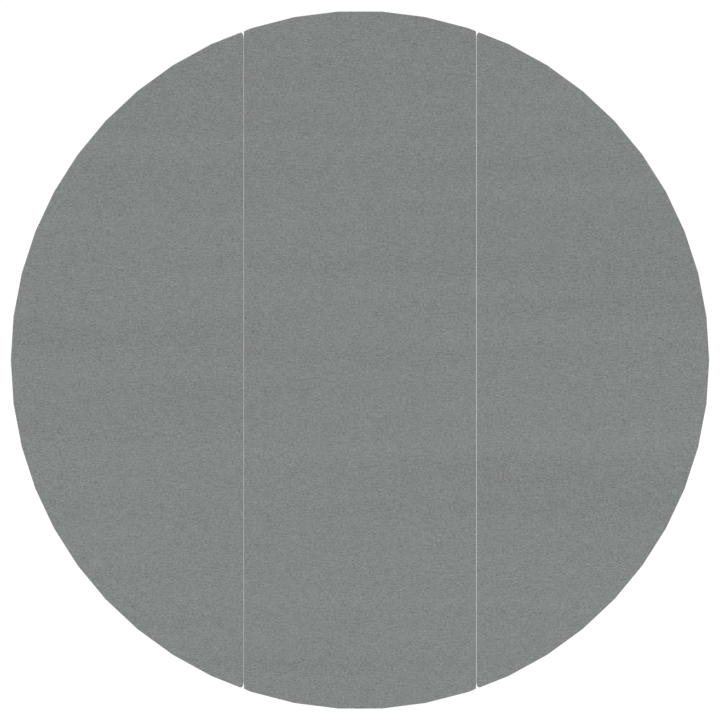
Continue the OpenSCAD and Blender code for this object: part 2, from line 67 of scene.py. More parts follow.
# ---------------------------------------------------------------- sizes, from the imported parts
wing_low, wing_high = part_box("left_face_cloth")
centre_low, centre_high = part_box("centre_face_cloth")
hem_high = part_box("centre_edge_wrap")[1]

FACET = math.radians(360 / 50)            # turn from one straight facet of the rim to the next
MIDDLE_Z = (wing_low.z + wing_high.z) / 2
APOTHEM = centre_high.z - MIDDLE_Z        # the disc's middle to the middle of a facet
FRONT_Y = centre_low.y
BACK_Y = hem_high.y
GAP = centre_low.x - wing_high.x          # the air between two panels
SEAM_X = -(wing_high.x + centre_low.x) / 2
SEAM_FACET = 3 * FACET                    # direction of the facet that the seam's ends cut
WING_CORNER = 5 * MM
CENTRE_CORNER = 3.5 * MM
WING_LEAN = 1.3 * MM                      # how far a wing's seam side draws back at its ends
CENTRE_LEAN = 0.2 * MM
LEAN_H = 13 * MM                          # the height over which it does so
LEAN_W = 6 * MM                           # and the width over which it fades away
LEAST_CORNER = 0.6 * MM                   # a corner never gets sharper than this

CLOTH_T = 0.8 * MM
EDGE_R = 0.9 * MM                         # the cloth's outer radius where it turns over the frame
SEW_Y = FRONT_Y + 4.2 * MM                # the seam between a face and its edging
HEM_W = 23.5 * MM
HEM_STITCH = 17 * MM                      # from the rim to the hem's row of stitches
STITCH_L = 4.4 * MM
STITCH_PITCH = 6.5 * MM
LIP_R = 0.12 * MM                         # round edges of the seam strips
WING_MIDDLE_X = 0.47                      # where the rings of a wing's cloth close up

FACET_STEPS = 24                          # points along a facet, a corner and half a seam
CORNER_STEPS = 10
SEAM_STEPS = 170
SKIPPED_STEPS = 3                         # rim points left out where the corner takes their place


# ---------------------------------------------------------------- meshes
def grid_faces(rows, columns, closed_rows=True, closed_columns=False):
    """Quads between neighbouring rows and columns of a grid, joined round where it is closed."""
    r = np.arange(rows if closed_columns else rows - 1)[:, None]
    c = np.arange(columns if closed_rows else columns - 1)[None, :]
    r2 = (r + 1) % rows
    c2 = (c + 1) % columns
    quads = np.stack([r * columns + c, r2 * columns + c, r2 * columns + c2, r * columns + c2], -1)
    return quads.reshape(-1, 4)


def fan_faces(pole, first, columns, back=False):
    """Triangles from a pole to a closed row of points."""
    c = np.arange(columns)
    n = (c + 1) % columns
    edge = (first + n, first + c) if back else (first + c, first + n)
    return np.stack([np.full(columns, pole), *edge], -1)


def closed_ends(rows_of_points, first_pole, last_pole):
    """Points and faces of a stack of closed rows, with a pole that closes each end."""
    rows, columns = rows_of_points.shape[:2]
    points = np.vstack([rows_of_points.reshape(-1, 3), [first_pole, last_pole]])
    faces = [grid_faces(rows, columns), fan_faces(rows * columns, 0, columns),
             fan_faces(rows * columns + 1, (rows - 1) * columns, columns, back=True)]
    return points, faces


def make_piece(name, points, faces, material, smooth=True, uv=None):
    """A closed mesh piece. Its faces are turned outwards if the volume they enclose is negative."""
    points = np.ascontiguousarray(points, float).reshape(-1, 3)
    tris = np.concatenate([f[:, [0, i, i + 1]] for f in faces for i in range(1, f.shape[1] - 1)])
    a, b, c = (points[tris[:, i]] for i in range(3))
    if np.einsum("ij,ij->i", a, np.cross(b, c)).sum() < 0:
        faces = [f[:, ::-1] for f in faces]
        uv = None if uv is None else [u[:, ::-1] for u in uv]
    mesh = bpy.data.meshes.new(name)
    corners = np.concatenate([f.ravel() for f in faces]).astype(np.int32)
    counts = np.concatenate([np.full(len(f), f.shape[1]) for f in faces])
    mesh.vertices.add(len(points))
    mesh.vertices.foreach_set("co", points.ravel())
    mesh.loops.add(len(corners))
    mesh.loops.foreach_set("vertex_index", corners)
    mesh.polygons.add(len(counts))
    starts = np.concatenate([[0], np.cumsum(counts)[:-1]]).astype(np.int32)
    mesh.polygons.foreach_set("loop_start", starts)
    mesh.polygons.foreach_set("use_smooth", np.full(len(counts), smooth))
    if uv is not None:
        layer = mesh.uv_layers.new(name="along")
        layer.uv.foreach_set("vector", np.concatenate([u.reshape(-1, 2) for u in uv]).ravel())
    mesh.update(calc_edges=True)
    mesh.validate()
    mesh.materials.append(material)
    piece = bpy.data.objects.new(name, mesh)
    bpy.context.scene.collection.objects.link(piece)
    return piece


# ---------------------------------------------------------------- the panels' outlines
def eased(t):
    """0 below 0 and 1 above 1, with a smooth climb between."""
    t = np.clip(t, 0, 1)
    return t * t * (3 - 2 * t)


def upper_part(wing, inset):
    """Half a wing's outline, or a quarter of the centre panel's, at each inset, as x and height.

    It goes up the seam, round the corner on an arc that touches the seam and the rim's facet
    there, and along the rim. The rim is at the apothem less the inset, divided by the cosine of
    the angle from the middle of its facet. The arc's middle is its radius inside both sides. Near
    its end the seam's side draws back a little.
    """
    inset = np.asarray(inset, float)[:, None]
    facing = 1 if wing else -1
    reach = APOTHEM - inset
    radius = np.maximum((WING_CORNER if wing else CENTRE_CORNER) - inset, LEAST_CORNER)
    middle_x = SEAM_X + facing * (GAP / 2 + inset + radius)
    middle_h = (reach - radius - middle_x * math.sin(SEAM_FACET)) / math.cos(SEAM_FACET)
    up = np.linspace(0, 1, SEAM_STEPS, endpoint=False)
    seam_h = middle_h * up
    seam_x = middle_x - facing * radius + 0 * up
    turn = np.linspace(math.pi if wing else 0, math.pi / 2 - SEAM_FACET, CORNER_STEPS)
    corner_x = middle_x + radius * np.cos(turn)
    corner_h = middle_h + radius * np.sin(turn)
    step = FACET / FACET_STEPS
    tip = round(math.asin(SEAM_X / APOTHEM) / step)
    start = np.arctan2(corner_x[:, -1:], corner_h[:, -1:])
    least_turn = 0.3 * MM / APOTHEM
    if wing:
        lean = step * np.arange(tip + SKIPPED_STEPS, round(math.pi / 2 / step) + 1)
        lean = np.maximum(lean, start + least_turn * (1 + np.arange(len(lean))))
    else:
        lean = step * np.arange(tip - SKIPPED_STEPS, -1, -1)
        lean = np.minimum(lean, start - least_turn * (1 + np.arange(len(lean))))
    radial = reach / np.cos(lean - FACET * np.round(lean / FACET))
    x = np.concatenate([seam_x, corner_x, radial * np.sin(lean)], 1)
    h = np.concatenate([seam_h, corner_h, radial * np.cos(lean)], 1)
    drawn = eased((h - middle_h + LEAN_H - radius) / LEAN_H) \
        * np.exp(-((x - seam_x[:, :1]) / LEAN_W) ** 2)
    return x + facing * (WING_LEAN if wing else CENTRE_LEAN) * drawn, h


def outline(side, inset):
    """A panel's whole outline at each inset: the upper part and its mirror images."""
    x, h = upper_part(side != "centre", inset)
    if side == "centre":
        x, h = np.hstack([x, -x[:, -2::-1]]), np.hstack([h, h[:, -2::-1]])
    x, h = np.hstack([x, x[:, -2:0:-1]]), np.hstack([h, -h[:, -2:0:-1]])
    return (-x if side == "left" else x), h


def lengths_along(side, inset=0.0):
    """Length along the outline to each of its points, with the whole length last."""
    x, h = outline(side, [inset])
    x, h = np.append(x[0], x[0, 0]), np.append(h[0], h[0, 0])
    return np.concatenate([[0], np.cumsum(np.hypot(np.diff(x), np.diff(h)))])


def arc(r, d, y, first, last, steps):
    """Inset and depth of points on an arc of radius r about inset d and depth y. 0 degrees is
    inwards and 90 is backwards."""
    a = np.radians(np.linspace(first, last, steps))
    return d + r * np.cos(a), y + r * np.sin(a)


# ---------------------------------------------------------------- node groups and materials
# Noise is stretched in cells to the metre along each axis, so a small number gives long marks.
def named_nodes(tree):
    """A short way to add a node with its settings, input values and links."""
    def add(kind, inputs=None, **settings):
        n = tree.nodes.new(kind)
        for key, value in settings.items():
            setattr(n, key, value)
        for key, value in (inputs or {}).items():
            if isinstance(value, bpy.types.NodeSocket):
                tree.links.new(value, n.inputs[key])
            else:
                n.inputs[key].default_value = value
        return n
    return add


def effect(name, inputs, outputs):
    """A new node group with those sockets. Returns the group, its adder, inputs and outputs."""
    group = bpy.data.node_groups.new(name, "ShaderNodeTree")
    for key, kind, value in inputs:
        s = group.interface.new_socket(name=key, in_out="INPUT", socket_type="NodeSocket" + kind)
        if value is not None:
            s.default_value = value
    for key, kind in outputs:
        group.interface.new_socket(name=key, in_out="OUTPUT", socket_type="NodeSocket" + kind)
    add = named_nodes(group)
    return group, add, add("NodeGroupInput").outputs, add("NodeGroupOutput").inputs


def maths(add, operation, a, b=0.0, c=0.0):
    """The result of one Math node."""
    return add("ShaderNodeMath", {0: a, 1: b, 2: c}, operation=operation).outputs[0]


def spread_noise(add, vector, stretch, detail=2.0, roughness=0.5):
    """Noise from 0 to 1 about cells of the size that stretch gives, in cells to the metre."""
    placed = add("ShaderNodeVectorMath", {0: vector, 1: stretch}, operation="MULTIPLY").outputs[0]
    found = {"Vector": placed, "Scale": 1.0, "Detail": detail, "Roughness": roughness}
    return add("ShaderNodeTexNoise", found, noise_dimensions="3D").outputs[0]


def signed(add, noise, strength):
    """Noise turned into a swing about 0, as wide as strength."""
    return maths(add, "MULTIPLY", maths(add, "SUBTRACT", noise, 0.5), strength)


def heather_group():
    """Cloth of uneven shade. Short level dashes, longer slubs and wide blotches of the yarn, and level
    bands across the cloth that lighten and darken its colour, add up to the shade, and the height of a
    plain weave is the larger of its warp and weft waves."""
    group, add, given, made = effect("heathered_weave", [
        ("Vector", "Vector", None), ("Colour", "Color", (0.2, 0.2, 0.2, 1)),
        ("Fleck", "Float", 0.3), ("Slub", "Float", 0.1), ("Bands", "Float", 0.05),
        ("Yarns per metre", "Float", 900.0),
    ], [("Colour", "Color"), ("Height", "Float"), ("Fleck", "Float")])
    v = given["Vector"]
    fleck = spread_noise(add, v, (210, 300, 470), 3.0, 0.75)
    slub = spread_noise(add, v, (38, 300, 520), 1.0)
    band = spread_noise(add, v, (0.6, 2, 15), 1.0)
    blotch = spread_noise(add, v, (7, 7, 7), 3.0)
    swing = maths(add, "MULTIPLY", maths(add, "SUBTRACT", fleck, 0.5), given["Fleck"])
    swing = maths(add, "MULTIPLY_ADD", maths(add, "SUBTRACT", slub, 0.5), given["Slub"], swing)
    swing = maths(add, "MULTIPLY_ADD", maths(add, "SUBTRACT", band, 0.5), given["Bands"], swing)
    swing = maths(add, "ADD", swing, signed(add, blotch, 0.05))
    shade = maths(add, "ADD", swing, 1.0)
    axes = add("ShaderNodeSeparateXYZ", {0: v}).outputs
    turns = maths(add, "MULTIPLY", given["Yarns per metre"], 2 * math.pi)
    across = maths(add, "SINE", maths(add, "MULTIPLY", axes["X"], turns))
    along = maths(add, "SINE", maths(add, "MULTIPLY", axes["Z"], turns))
    over = maths(add, "MULTIPLY", across, along)
    weave = maths(add, "ADD", maths(add, "ABSOLUTE", across), maths(add, "ABSOLUTE", along))
    height = maths(add, "MULTIPLY_ADD", over, 0.35, weave)
    height = maths(add, "MULTIPLY_ADD", fleck, 1.2, height)
    colour = add("ShaderNodeVectorMath", {0: given["Colour"]}, operation="SCALE")
    group.links.new(shade, colour.inputs["Scale"])
    group.links.new(colour.outputs[0], made["Colour"])
    group.links.new(height, made["Height"])
    group.links.new(fleck, made["Fleck"])
    return group


def brushed_group():
    """Fine drawn lines in metal. Round the rim they follow it: the coordinates are then the
    distance from the disc's middle, the depth, and the angle, which varies slowly."""
    group, add, given, made = effect("drawn_lines", [
        ("Vector", "Vector", None), ("Colour", "Color", (0.5, 0.5, 0.5, 1)),
        ("Across", "Vector", (900, 900, 6)), ("Round the rim", "Float", 0.0),
        ("Shade", "Float", 0.2), ("Gloss", "Float", 0.2), ("Roughness", "Float", 0.35),
    ], [("Colour", "Color"), ("Roughness", "Float"), ("Height", "Float")])
    v = given["Vector"]
    level = add("ShaderNodeVectorMath", {0: v, 1: (0, 0, MIDDLE_Z)}, operation="SUBTRACT")
    axes = add("ShaderNodeSeparateXYZ", {0: level.outputs[0]}).outputs
    far = maths(add, "SQRT", maths(add, "MULTIPLY_ADD", axes["X"], axes["X"],
                                  maths(add, "MULTIPLY", axes["Z"], axes["Z"])))
    angle = maths(add, "ARCTAN2", maths(add, "ABSOLUTE", axes["X"]), axes["Z"])
    polar = add("ShaderNodeCombineXYZ", {"X": far, "Y": axes["Y"], "Z": angle}).outputs[0]
    chosen = add("ShaderNodeMix", {0: given["Round the rim"]}, data_type="VECTOR")
    group.links.new(v, chosen.inputs[4])
    group.links.new(polar, chosen.inputs[5])
    lines = spread_noise(add, chosen.outputs[1], given["Across"], 3.0, 0.6)
    smudge = spread_noise(add, v, (18, 18, 18), 3.0, 0.6)
    swing = maths(add, "MULTIPLY", maths(add, "SUBTRACT", lines, 0.5), given["Shade"])
    swing = maths(add, "ADD", swing, signed(add, smudge, 0.12))
    colour = add("ShaderNodeVectorMath", {0: given["Colour"]}, operation="SCALE")
    group.links.new(maths(add, "ADD", swing, 1.0), colour.inputs["Scale"])
    rough = maths(add, "MULTIPLY_ADD", maths(add, "SUBTRACT", lines, 0.5), given["Gloss"],
                  given["Roughness"])
    rough = maths(add, "ADD", rough, signed(add, smudge, 0.15))
    group.links.new(colour.outputs[0], made["Colour"])
    group.links.new(rough, made["Roughness"])
    group.links.new(lines, made["Height"])
    return group


def moulded_group():
    """Moulded plastic: a fine spark-eroded grain, faint flow marks, and dust in the dull places."""
    group, add, given, made = effect("moulded_grain", [
        ("Vector", "Vector", None), ("Colour", "Color", (0.04, 0.04, 0.04, 1)),
        ("Grain", "Float", 1400.0), ("Dust", "Float", 0.03), ("Roughness", "Float", 0.5),
    ], [("Colour", "Color"), ("Roughness", "Float"), ("Height", "Float")])
    v = given["Vector"]
    found = {"Vector": v, "Scale": given["Grain"], "Detail": 2.0, "Roughness": 0.6}
    grain = add("ShaderNodeTexNoise", found).outputs[0]
    flow = spread_noise(add, v, (60, 60, 25), 3.0, 0.6)
    dust = add("ShaderNodeMapRange", {0: flow, 1: 0.45, 2: 0.75, 3: 0.0, 4: 1.0}).outputs[0]
    dusty = maths(add, "MULTIPLY", dust, given["Dust"])
    mixed = add("ShaderNodeMix", {0: dusty, 7: (0.42, 0.4, 0.37, 1)}, data_type="RGBA")
    group.links.new(given["Colour"], mixed.inputs[6])
    lift = maths(add, "ADD", signed(add, grain, 0.35), 1.0)
    colour = add("ShaderNodeVectorMath", {0: mixed.outputs[2]}, operation="SCALE")
    group.links.new(lift, colour.inputs["Scale"])
    rough = maths(add, "MULTIPLY_ADD", dust, 0.18, given["Roughness"])
    group.links.new(colour.outputs[0], made["Colour"])
    group.links.new(rough, made["Roughness"])
    group.links.new(maths(add, "MULTIPLY_ADD", flow, 0.6, grain), made["Height"])
    return group


HEATHER = heather_group()
DRAWN = brushed_group()
MOULDED = moulded_group()
COLOUR = {m["slot"]: (*m["base_color"], 1.0) for m in frame["record"]["materials"]}


def material(name, group, values, bump, metallic=0.0, uv=False, **shader):
    """A Principled material whose colour, roughness and bump come from a node group. bump is the
    relief's full height in metres."""
    made = bpy.data.materials.new(name)
    made.use_nodes = True
    tree = made.node_tree
    tree.nodes.clear()
    add = named_nodes(tree)
    place = add("ShaderNodeTexCoord").outputs["UV" if uv else "Object"]
    if uv:
        flat = add("ShaderNodeSeparateXYZ", {0: place}).outputs
        place = add("ShaderNodeCombineXYZ", {"X": flat["X"], "Z": flat["Y"]}).outputs[0]
    look = add("ShaderNodeGroup", node_tree=group)
    tree.links.new(place, look.inputs["Vector"])
    for key, value in values.items():
        look.inputs[key].default_value = value
    surface = add("ShaderNodeBsdfPrincipled", {"Metallic": metallic, **shader})
    tree.links.new(look.outputs["Colour"], surface.inputs["Base Color"])
    if "Roughness" in look.outputs:
        tree.links.new(look.outputs["Roughness"], surface.inputs["Roughness"])
    relief = add("ShaderNodeBump", {"Height": look.outputs["Height"], "Distance": bump})
    tree.links.new(relief.outputs[0], surface.inputs["Normal"])
    end = add("ShaderNodeOutputMaterial")
    tree.links.new(surface.outputs[0], end.inputs["Surface"])
    return made


def shaded(colour, factor):
    """A colour made darker or lighter."""
    return (*(c * factor for c in colour[:3]), 1.0)


CLOTH_SHADER = {"Roughness": 0.92, "Specular IOR Level": 0.12, "Sheen Weight": 0.04,
                "Sheen Roughness": 0.5}
cloth = material("heathered_cloth", HEATHER,
                 {"Colour": shaded(COLOUR["cloth"], 1.0), "Fleck": 2.0, "Slub": 0.5,
                  "Bands": 0.16}, 0.12 * MM, **CLOTH_SHADER)
edging_cloth = material("edging_cloth", HEATHER,
                        {"Colour": shaded(COLOUR["cloth"], 0.95), "Fleck": 1.8, "Slub": 0.5,
                         "Bands": 0.0}, 0.12 * MM, uv=True, **CLOTH_SHADER)
thread = material("sewing_thread", HEATHER,
                  {"Colour": shaded(COLOUR["cloth"], 2.0), "Fleck": 0.4, "Slub": 0.1,
                   "Bands": 0.0, "Yarns per metre": 2600.0}, 0.05 * MM,
                  **{"Roughness": 0.55, "Sheen Weight": 0.1})
felt = material("seam_felt", HEATHER,
                {"Colour": COLOUR["seam_bead"], "Fleck": 0.25, "Slub": 0.05, "Bands": 0.0,
                 "Yarns per metre": 1900.0}, 0.1 * MM,
                **{"Roughness": 0.95, "Specular IOR Level": 0.1, "Sheen Weight": 0.1})


def metal(name, slot, across, rim=0.0, factor=0.78, rough=0.34, shade=0.16, **shader):
    """A drawn or turned metal. across gives its lines in cells to the metre along each axis."""
    return material(name, DRAWN,
                    {"Colour": shaded(COLOUR[slot], factor), "Across": across,
                     "Round the rim": rim, "Shade": shade, "Roughness": rough},
                    0.02 * MM, metallic=1.0, **shader)


upright_tube = metal("upright_tube", "frame_tube", (1100, 1100, 5))
level_tube = metal("level_tube", "frame_tube", (5, 1100, 1100))
rim_tube = metal("rim_tube", "frame_tube", (1100, 1100, 3), rim=1.0)
hinge_plate = metal("hinge_plate", "hinge_steel", (1500, 1500, 25), rough=0.3, shade=0.25)
pin_steel = metal("pin_steel", "hinge_steel", (300, 300, 2500), rough=0.2)
screw_steel = metal("screw_steel", "fastener_steel", (500, 500, 500), rough=0.28)
magnet_plate = metal("magnet_plate", "magnet", (350, 350, 350), rough=0.16, shade=0.08)
socket_metal = metal("turned_socket", "socket_metal", (60, 60, 2600), rough=0.3)
clamp_steel = metal("clamp_steel", "bright_steel", (60, 2600, 60), rough=0.18)
ring_steel = metal("ring_steel", "bright_steel", (260, 260, 260), rough=0.14, shade=0.06)
nylon = material("moulded_nylon", MOULDED, {"Colour": shaded(COLOUR["moulded_nylon"], 0.8)},
                 0.05 * MM, **{"Specular IOR Level": 0.3})
rivet_nylon = material("rivet_nylon", MOULDED,
                       {"Colour": COLOUR["rivet_plastic"], "Grain": 2200.0, "Dust": 0.02,
                        "Roughness": 0.4}, 0.03 * MM, **{"Specular IOR Level": 0.35})
knob_nylon = material("knob_nylon", MOULDED,
                      {"Colour": COLOUR["knob_plastic"], "Grain": 1800.0, "Dust": 0.03,
                       "Roughness": 0.42}, 0.05 * MM, **{"Coat Weight": 0.15})

FINISHES = {
    upright_tube: ["left_seam_rail", "centre_left_rail", "centre_right_rail", "right_seam_rail"],
    level_tube: ["left_cross_bars", "centre_cross_bars", "right_cross_bars"],
    rim_tube: ["left_bow", "centre_top_bow", "centre_bottom_bow", "right_bow"],
    nylon: ["left_corner_joints", "centre_corner_joints", "right_corner_joints",
            "left_bar_feet", "centre_bar_feet", "right_bar_feet", "right_riser_wing_blocks",
            "right_riser_centre_blocks", "socket_block"],
    screw_steel: ["left_corner_screws", "centre_corner_screws", "right_corner_screws",
                  "left_foot_screws", "centre_foot_screws", "right_foot_screws",
                  "left_hinge_wing_screws", "left_hinge_centre_screws",
                  "right_hinge_wing_screws", "right_hinge_centre_screws",
                  "socket_block_screws", "ring_tab_screws"],
    rivet_nylon: ["left_hem_rivets", "centre_hem_rivets", "right_hem_rivets"],
    magnet_plate: ["left_magnets", "centre_magnets", "right_magnets"],
    hinge_plate: ["left_hinge_wing_leaves", "left_hinge_centre_leaves",
                  "right_hinge_wing_leaves", "right_hinge_centre_leaves", "ring_tab"],
    pin_steel: ["left_hinge_pins", "right_hinge_pins"],
    socket_metal: ["stand_socket"],
    clamp_steel: ["clamp_screw"],
    ring_steel: ["hanging_ring"],
}
for finish, names in FINISHES.items():
    for name in names:
        mesh = frame["nodes"][name].data
        mesh.materials.clear()
        mesh.materials.append(finish)


def soften(name, width):
    """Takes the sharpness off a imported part's edges: its loose triangles are joined and every
    edge sharper than 40 degrees gets a small round."""
    part = frame["nodes"][name]
    join = part.modifiers.new("join", "WELD")
    join.merge_threshold = 1e-6
    edge = part.modifiers.new("round", "BEVEL")
    edge.width = width
    edge.segments = 3
    edge.limit_method = "ANGLE"
    edge.angle_limit = math.radians(40)
    edge.harden_normals = True


for side in ("left", "centre", "right"):
    soften(side + "_cross_bars", 0.7 * MM)
    soften(side + "_bar_feet", 0.4 * MM)
    soften(side + "_hem_rivets", 0.5 * MM)


# ---------------------------------------------------------------- covers
def tension(x, h):
    """How far the stretched cloth stands behind its flat plane.

    Radial waves, a sum of sines of the angle round the rim, fade exponentially inwards and are
    strongest at the left rim's middle. Diagonal waves lie in a patch at the right rim's middle.
    Level waves of the weave's own tension cross the whole cloth.
    """
    lean = np.arctan2(x, h)
    depth = APOTHEM - np.hypot(x, h)
    # each wave is n to the turn and a millimetres high, and starts at the phase p
    rim = sum(a * np.sin(n * lean + p)
              for n, a, p in ((97, 0.10, 0.4), (131, 0.08, 2.1), (73, 0.07, 4.0)))
    rim *= np.exp(-depth / 0.06) * (0.5 + 1.6 * np.exp(-((lean + math.pi / 2) / 0.3) ** 2))
    patch = np.exp(-((x - 0.62) / 0.12) ** 2 - ((h - 0.02) / 0.17) ** 2)
    slant = 0.28 * np.sin((x + 1.35 * h) * 2 * math.pi / 0.052) * patch
    level = 0.05 * np.sin(h * 2 * math.pi / 0.071 + 1.5 * np.sin(h * 9 + x * 3))
    return (rim + slant + level) * MM


def face_cloth(side, body):
    """A panel's face: rings at a share of the way from its middle to its outline, then the turn
    over the frame's edge and the side down to the seam, and the same again inside the cloth."""
    turn_d, turn_y = arc(EDGE_R, EDGE_R, FRONT_Y + EDGE_R, 270, 180, 5)
    end_d, end_y = arc(CLOTH_T / 2, CLOTH_T / 2, SEW_Y - CLOTH_T / 2, 180, 0, 7)
    back_d, back_y = arc(EDGE_R - CLOTH_T, EDGE_R, FRONT_Y + EDGE_R, 180, 270, 4)
    near = np.array([12, 8, 5, 3, 1.8]) * MM
    inset = np.concatenate([near, turn_d, end_d, back_d, near[::-1]])
    y = np.concatenate([0 * near + FRONT_Y, turn_y, end_y, back_y,
                        0 * near + FRONT_Y + CLOTH_T])
    x, h = outline(side, inset)
    shares = 1 - (1 - np.linspace(0.03, 0.985, 38)) ** 1.25
    inner_shares = shares[::2][::-1]
    middle_x = {"left": -1, "centre": 0, "right": 1}[side] * WING_MIDDLE_X
    columns = x.shape[1]

    def shrunk(k, row):
        return (middle_x + k[:, None] * (x[row] - middle_x), k[:, None] * h[row],
                np.full((len(k), columns), y[row]))
    front = shrunk(shares, 0)
    back = shrunk(inner_shares, -1)
    x = np.vstack([front[0], x, back[0]])
    h = np.vstack([front[1], h, back[1]])
    y = np.vstack([front[2], np.repeat(y[:, None], columns, 1), back[2]])
    loose = np.concatenate([np.ones(len(shares)), eased((near - EDGE_R) / (near[0] - EDGE_R)),
                            np.zeros(len(turn_d) + len(end_d) + len(back_d)),
                            eased((near[::-1] - EDGE_R) / (near[0] - EDGE_R)),
                            np.ones(len(inner_shares))])
    y = y + loose[:, None] * tension(x, h)
    pole_y = FRONT_Y + tension(middle_x, 0.0)
    points, faces = closed_ends(np.stack([x, y, MIDDLE_Z + h], -1),
                                [middle_x, pole_y, MIDDLE_Z],
                                [middle_x, pole_y + CLOTH_T, MIDDLE_Z])
    piece = make_piece(side + "_cloth", points, faces, cloth)
    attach(piece, body)
    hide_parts(side + "_face_cloth")
    return piece


def hem_lift(distance, inset, rim_share):
    """How far the hem stands behind its flat plane: its fold is two cloths thick from the stitches
    inwards, the stitches pull a groove, and small gathers take up its shorter inner edge. The
    gathers are two sine waves, 21 and 13.7 mm long, and the rim has them but not the seam."""
    fold = 0.45 * MM * eased((inset - HEM_STITCH - 0.8 * MM) / (1.5 * MM))
    groove = -0.22 * MM * np.exp(-((inset - HEM_STITCH) / (0.8 * MM)) ** 2)
    wave = np.sin(distance * 2 * math.pi / 0.021) + 0.6 * np.sin(distance * 2 * math.pi / 0.0137)
    gather = 0.2 * MM * (wave + 1.2) * eased((inset - 4 * MM) / (12 * MM)) * rim_share
    return fold + groove + gather


def edging(side, body):
    """The strip round a panel's side that turns over onto its back as a hem: one closed profile
    of inset and depth, carried along the outline."""
    start_d, start_y = arc(CLOTH_T / 2, CLOTH_T / 2, SEW_Y + CLOTH_T / 2, 360, 180, 7)
    side_y = np.array([SEW_Y + 1.5 * MM, -0.004, 0.0, 0.004, 0.009])
    over_d, over_y = arc(EDGE_R, EDGE_R, BACK_Y - EDGE_R, 180, 90, 5)
    hem_d = np.array([1.8, 4, 7, 10, 13, 15, 16, 16.5, 17, 17.5, 18, 19, 20.5, 22]) * MM
    fold_d, fold_y = arc(CLOTH_T / 2, HEM_W - CLOTH_T / 2, BACK_Y - CLOTH_T / 2, 90, -90, 7)
    under_d = np.array([18, 12, 6, 1.8]) * MM
    inner_d, inner_y = arc(EDGE_R - CLOTH_T, EDGE_R, BACK_Y - EDGE_R, 90, 180, 4)
    inner_side = side_y[::-1]
    inset = np.concatenate([start_d, 0 * side_y, over_d, hem_d, fold_d, under_d, inner_d,
                            0 * inner_side + CLOTH_T])
    y = np.concatenate([start_y, side_y, over_y, 0 * hem_d + BACK_Y, fold_y,
                        0 * under_d + BACK_Y - CLOTH_T, inner_y, inner_side])
    x, h = outline(side, inset)
    rows, columns = x.shape
    distance = lengths_along(side)
    rim_share = eased((np.abs(np.abs(x[:1]) - SEAM_X) - 4 * MM) / (25 * MM))
    lift = hem_lift(distance[:-1][None, :], inset[:, None], rim_share)
    first_hem = len(start_d) + len(side_y) + len(over_d)
    outer = np.zeros(rows)
    after_hem = first_hem + len(hem_d)
    outer[first_hem:after_hem] = 1
    outer[after_hem:after_hem + len(fold_d)] = np.linspace(1, 0, len(fold_d))
    depth = y[:, None] + outer[:, None] * lift
    points = np.stack([x, depth, MIDDLE_Z + h], -1)
    down = np.concatenate([[0], np.cumsum(np.hypot(np.diff(inset), np.diff(y)))])
    down = np.append(down, down[-1] + CLOTH_T)
    quads = grid_faces(rows, columns, closed_columns=True)
    r, c = np.divmod(np.arange(rows * columns), columns)
    uv = np.stack([np.stack([distance[c + dc], down[r + dr]], -1)
                   for dr, dc in ((0, 0), (1, 0), (1, 1), (0, 1))], 1)
    piece = make_piece(side + "_edging", points, [quads], edging_cloth, uv=[uv])
    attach(piece, body)
    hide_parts(side + "_edge_wrap")
    return piece


def placed_along(side, inset, pitch, rim_only=False):
    """Places a pitch apart along the outline: x, height, and the direction of travel."""
    along = lengths_along(side, inset)
    x, h = (np.append(v[0], v[0, 0]) for v in outline(side, [inset]))
    count = int(along[-1] / pitch)
    at = (np.arange(count) + 0.5) * along[-1] / count
    px, ph = np.interp(at, along, x), np.interp(at, along, h)
    ahead = at + 0.2 * MM
    qx, qh = np.interp(ahead, along, x), np.interp(ahead, along, h)
    size = np.hypot(qx - px, qh - ph)
    keep = np.abs(np.abs(px) - SEAM_X) > 6 * MM if rim_only else np.full(count, True)
    keep &= size > 0
    return [v[keep] for v in (px, ph, (qx - px) / size, (qh - ph) / size, at)]


def stitch_row(name, side, body, inset, y, thickness, on_hem=True, rim_only=False):
    """A row of stitches. Each is a small ellipsoid from circles of latitude, half sunk in the
    cloth; its long axis follows the outline. On the hem it rises and falls with the cloth."""
    px, ph, dx, dh, at = placed_along(side, inset, STITCH_PITCH, rim_only)
    tilt = np.radians([30, 70, 110, 150])
    turn = np.radians(np.arange(0, 360, 60))
    circles, sides = len(tilt), len(turn)
    ring_points = circles * sides
    u = np.cos(tilt)[:, None] * np.ones(sides)
    v = np.sin(tilt)[:, None] * np.cos(turn)
    w = np.sin(tilt)[:, None] * np.sin(turn)
    shape = np.vstack([np.stack([u, v, w], -1).reshape(-1, 3), [[1, 0, 0], [-1, 0, 0]]])
    shape = shape * [STITCH_L / 2, thickness / 2, thickness / 2]
    travel = np.stack([dx, 0 * dx, dh], -1)[:, None, :]
    across = np.stack([-dh, 0 * dx, dx], -1)[:, None, :]
    deep = np.array([0, 1.0, 0])
    middle = np.stack([px, np.full_like(px, y), MIDDLE_Z + ph], -1)[:, None, :]
    if on_hem:
        lift = hem_lift(at / lengths_along(side, inset)[-1] * lengths_along(side)[-1],
                        np.full_like(at, inset), 0 * at)
        middle = middle + lift[:, None, None] * deep
    points = middle + shape[None, :, :1] * travel + shape[None, :, 1:2] * across \
        + shape[None, :, 2:] * deep
    one = [grid_faces(circles, sides), fan_faces(ring_points, 0, sides),
           fan_faces(ring_points + 1, ring_points - sides, sides, back=True)]
    offsets = (len(shape) * np.arange(len(px)))[:, None, None]
    faces = [(f[None] + offsets).reshape(-1, f.shape[1]) for f in one]
    piece = make_piece(name, points, faces, thread)
    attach(piece, body)
    return piece


